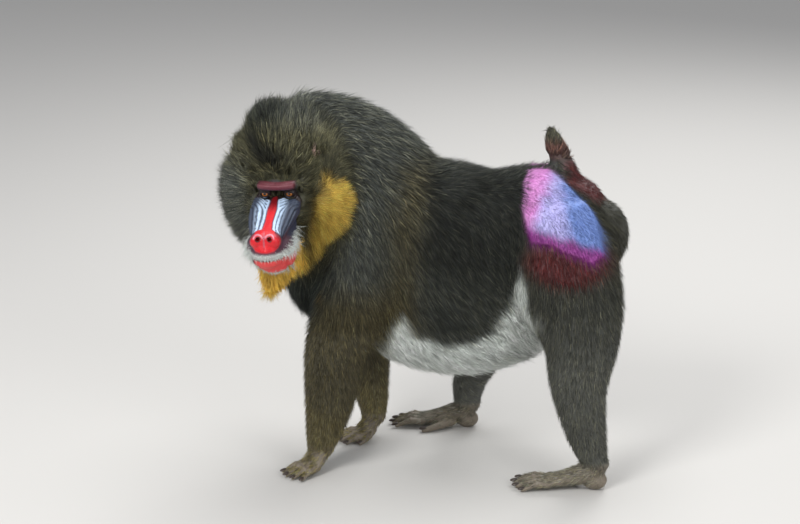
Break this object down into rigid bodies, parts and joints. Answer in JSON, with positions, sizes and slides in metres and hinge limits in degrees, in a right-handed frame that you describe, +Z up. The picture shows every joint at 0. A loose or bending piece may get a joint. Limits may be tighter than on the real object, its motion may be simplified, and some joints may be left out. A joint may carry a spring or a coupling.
{
  "type": "adult male mandrill, life-size still model",
  "caption": "Life-size still model of an adult male mandrill on all fours, head turned to its left, with crest, ruff, mane, beard and belly fringe.",
  "frame": {"origin": "middle of the whole model's box seen from above, on the floor that the hands and feet rest on", "axes": "-X the way the body faces, -Y the animal's left side and the way its face looks, +Z up"},
  "size_m": [0.7732, 0.4914, 0.7258],
  "materials": {
    "coat_dark": "long charcoal and olive coat, grizzled",
    "coat_olive": "short olive coat, golden towards the wrists",
    "coat_yellow": "yellow-orange beard below red lips",
    "coat_pale": "white to grey belly fringe under a charcoal flank",
    "face_skin": "bare blue ridged cheeks beside a red nose",
    "eye": "amber eye with a dark pupil",
    "skin_pink": "bare pinkish-grey skin",
    "rump_skin": "bare pink, lilac and blue rump, thinly haired",
    "paw_skin": "golden hair over pinkish-grey skin, with dark nails"
  },
  "bodies": {
    "root": {"head": "coat_dark", "muzzle": "face_skin", "jaw": "coat_yellow", "eye_left": "eye", "eye_right": "eye", "ear_left": "skin_pink", "ear_right": "skin_pink", "neck": "coat_dark", "chest": "coat_dark", "belly": "coat_pale", "rump": "rump_skin", "tail": "coat_dark", "upper_arm_left": "coat_dark", "forearm_left": "coat_olive", "hand_left": "paw_skin", "thigh_left": "coat_dark", "shank_left": "coat_dark", "foot_left": "paw_skin", "upper_arm_right": "coat_dark", "forearm_right": "coat_olive", "hand_right": "paw_skin", "thigh_right": "coat_dark", "shank_right": "coat_dark", "foot_right": "paw_skin"}
  },
  "joints": []
}
